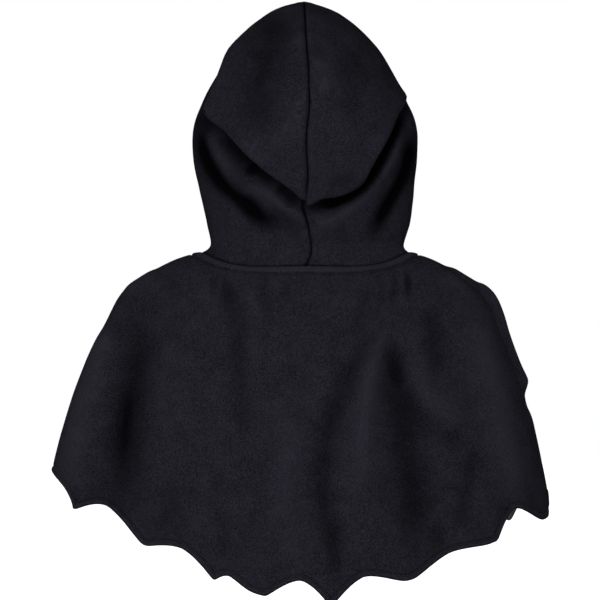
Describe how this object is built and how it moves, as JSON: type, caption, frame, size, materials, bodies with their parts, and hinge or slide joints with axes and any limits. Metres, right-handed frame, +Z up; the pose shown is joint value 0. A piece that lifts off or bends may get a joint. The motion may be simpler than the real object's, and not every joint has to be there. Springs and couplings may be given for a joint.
{
  "type": "hooded costume cape",
  "caption": "Child's black fleece costume cape with a seamed hood, an open front that fastens at the neck and a scalloped, bat-wing style hem.",
  "frame": {"origin": "middle of the neck opening, level with the neck seam at the centre back", "axes": "+Z up along the wearer's neck, +Y toward the wearer's back, +X toward the wearer's left"},
  "size_m": [0.5471, 0.2926, 0.6578],
  "materials": {
    "fleece": "matt brushed fleece, black with a faint violet cast",
    "lining": "plain black woven lining, low sheen",
    "tape": "black twill tape",
    "label": "blank off-white woven label",
    "hook": "black hook tape, wiry",
    "pile": "black loop tape, fuzzy"
  },
  "bodies": {
    "cape_back": {"back_panel": "fleece", "back_lining": "lining", "neck_tape": "tape", "shoulder_tape_left": "tape", "shoulder_tape_right": "tape"},
    "left_front": {"left_front_panel": "fleece", "left_front_lining": "lining", "loop_patch": "pile"},
    "right_front": {"right_front_panel": "fleece", "right_front_lining": "lining", "hook_patch": "hook"},
    "hood": {"hood_left_panel": "fleece", "hood_right_panel": "fleece", "hood_left_lining": "lining", "hood_right_lining": "lining"},
    "hanger_loop": {"hanger_loop": "tape"},
    "neck_label": {"neck_label": "label"}
  },
  "joints": [
    {"name": "hood_fold", "type": "hinge", "parent": "cape_back", "child": "hood", "pos_m": [0, 0.05, 0], "axis": [-1, 0, 0], "range_deg": [0, 105]},
    {"name": "right_front_swing", "type": "hinge", "parent": "cape_back", "child": "right_front", "pos_m": [-0.2383, 0.0134, -0.1343], "axis": [-0.3068, 0.0323, -0.9512], "range_deg": [0, 65]},
    {"name": "left_front_swing", "type": "hinge", "parent": "cape_back", "child": "left_front", "pos_m": [0.2442, -0.0031, -0.1109], "axis": [-0.3928, 0.0054, 0.9196], "range_deg": [0, 46]},
    {"name": "loop_swing", "type": "hinge", "parent": "cape_back", "child": "hanger_loop", "pos_m": [0, 0.04306, 0], "axis": [-1, 0, 0], "range_deg": [0, 80]},
    {"name": "label_flap", "type": "hinge", "parent": "cape_back", "child": "neck_label", "pos_m": [-0.0559, 0.0369, -0.0026], "axis": [-0.9677, -0.2519, 0], "range_deg": [0, 60]}
  ],
  "couplings": [
    {"joint": "left_front_swing", "follows": "right_front_swing", "ratio": 0.7}
  ]
}
